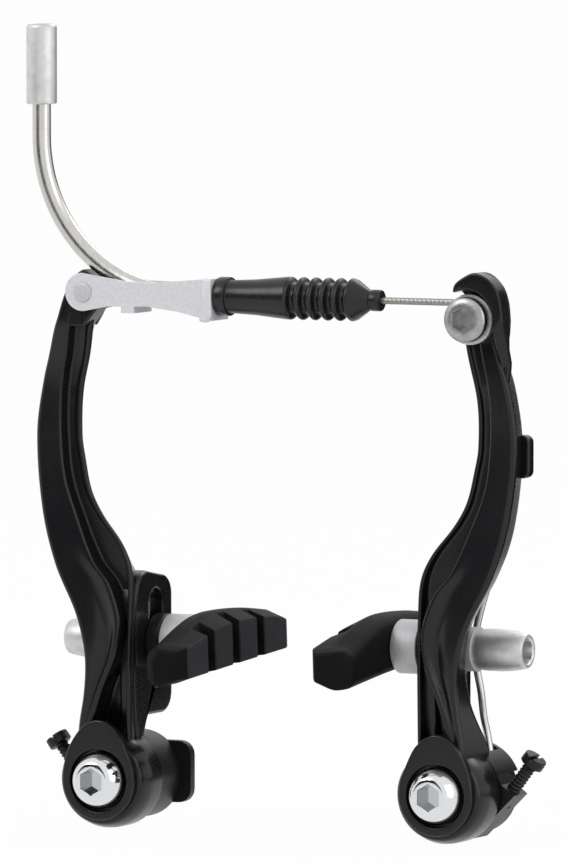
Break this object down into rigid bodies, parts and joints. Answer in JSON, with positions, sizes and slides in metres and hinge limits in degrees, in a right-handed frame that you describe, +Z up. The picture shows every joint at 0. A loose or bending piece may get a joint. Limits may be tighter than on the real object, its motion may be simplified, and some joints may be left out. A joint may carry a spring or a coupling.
{
  "type": "v-brake",
  "caption": "Linear-pull bicycle brake with slotted arms, curved pads, return springs, a bent guide tube and a bellows boot over the wire.",
  "frame": {"origin": "midway between the two stud axes, on the plane of the studs' shoulders at the back of the brake", "axes": "+X towards the arm with the wire anchor, +Y back to the frame or fork, +Z up along the wheel's radius"},
  "size_m": [0.1186, 0.0525, 0.1728],
  "materials": {
    "arm_coat": "satin black coat",
    "sleeve_steel": "turned steel",
    "bolt_chrome": "bright chrome",
    "spring_steel": "drawn wire",
    "cover_plastic": "moulded black",
    "black_steel": "blackened",
    "pad_rubber": "matte black",
    "zinc_steel": "zinc plate",
    "link_steel": "plated sheet",
    "liner_plastic": "white",
    "boot_rubber": "matte black",
    "wire_steel": "galvanised strand"
  },
  "bodies": {
    "studs_side": {"left_pivot_sleeve": "sleeve_steel", "left_pivot_bolt": "bolt_chrome", "left_spring_cover": "cover_plastic", "left_spring_plate": "cover_plastic", "right_pivot_sleeve": "sleeve_steel", "right_pivot_bolt": "bolt_chrome", "right_spring_cover": "cover_plastic", "right_spring_plate": "cover_plastic"},
    "left_arm_body": {"left_arm": "arm_coat", "left_spring": "spring_steel"},
    "right_arm_body": {"right_arm": "arm_coat", "right_spring": "spring_steel", "anchor_washer": "zinc_steel", "anchor_bolt": "zinc_steel"},
    "link_body": {"link": "link_steel", "link_pin": "zinc_steel", "noodle": "zinc_steel", "noodle_liner": "liner_plastic", "ferrule": "zinc_steel", "boot": "boot_rubber"},
    "wire_body": {"brake_cable": "wire_steel"},
    "left_pad_body": {"left_pad": "pad_rubber", "left_pad_post": "zinc_steel", "left_cup_washer": "zinc_steel", "left_inner_dome": "black_steel", "left_outer_dome": "black_steel", "left_thin_cup": "zinc_steel", "left_pad_nut": "zinc_steel"},
    "left_screw_body": {"left_tension_screw": "black_steel"},
    "right_pad_body": {"right_pad": "pad_rubber", "right_pad_post": "zinc_steel", "right_cup_washer": "zinc_steel", "right_inner_dome": "black_steel", "right_outer_dome": "black_steel", "right_thin_cup": "zinc_steel", "right_pad_nut": "zinc_steel"},
    "right_screw_body": {"right_tension_screw": "black_steel"}
  },
  "joints": [
    {"name": "left_arm_swing", "type": "hinge", "parent": "studs_side", "child": "left_arm_body", "pos_m": [-0.04, -0.0115, 0], "axis": [0, 1, 0], "range_deg": [0, 4], "stiffness_Nm_per_rad": 1, "springref_deg": -45.84, "deforming": ["left_spring"]},
    {"name": "right_arm_swing", "type": "hinge", "parent": "studs_side", "child": "right_arm_body", "pos_m": [0.04, -0.0115, 0], "axis": [0, 1, 0], "range_deg": [-4, 0], "stiffness_Nm_per_rad": 1, "springref_deg": 45.84, "deforming": ["right_spring"]},
    {"name": "link_swing", "type": "hinge", "parent": "left_arm_body", "child": "link_body", "pos_m": [-0.044, -0.0185, 0.105], "axis": [0, 1, 0], "range_deg": [-4, 0]},
    {"name": "wire_slide", "type": "slide", "parent": "link_body", "child": "wire_body", "axis": [1, 0, 0], "range_m": [-0.0146, 0], "deforming": ["brake_cable"]},
    {"name": "left_pad_height", "type": "slide", "parent": "left_arm_body", "child": "left_pad_body", "axis": [0, 0, 1], "range_m": [-0.004, 0.006]},
    {"name": "right_pad_height", "type": "slide", "parent": "right_arm_body", "child": "right_pad_body", "axis": [0, 0, 1], "range_m": [-0.005, 0.005]},
    {"name": "left_tension_adjust", "type": "slide", "parent": "studs_side", "child": "left_screw_body", "axis": [-0.6029, 0, 0.7978], "range_m": [-0.0012, 0.0028]},
    {"name": "right_tension_adjust", "type": "slide", "parent": "studs_side", "child": "right_screw_body", "axis": [0.6029, 0, 0.7978], "range_m": [-0.0012, 0.0028]}
  ],
  "couplings": [
    {"joint": "right_arm_swing", "follows": "left_arm_swing", "ratio": -1},
    {"joint": "link_swing", "follows": "left_arm_swing", "ratio": -1},
    {"joint": "wire_slide", "follows": "left_arm_swing", "m_per_rad": -0.2062}
  ]
}
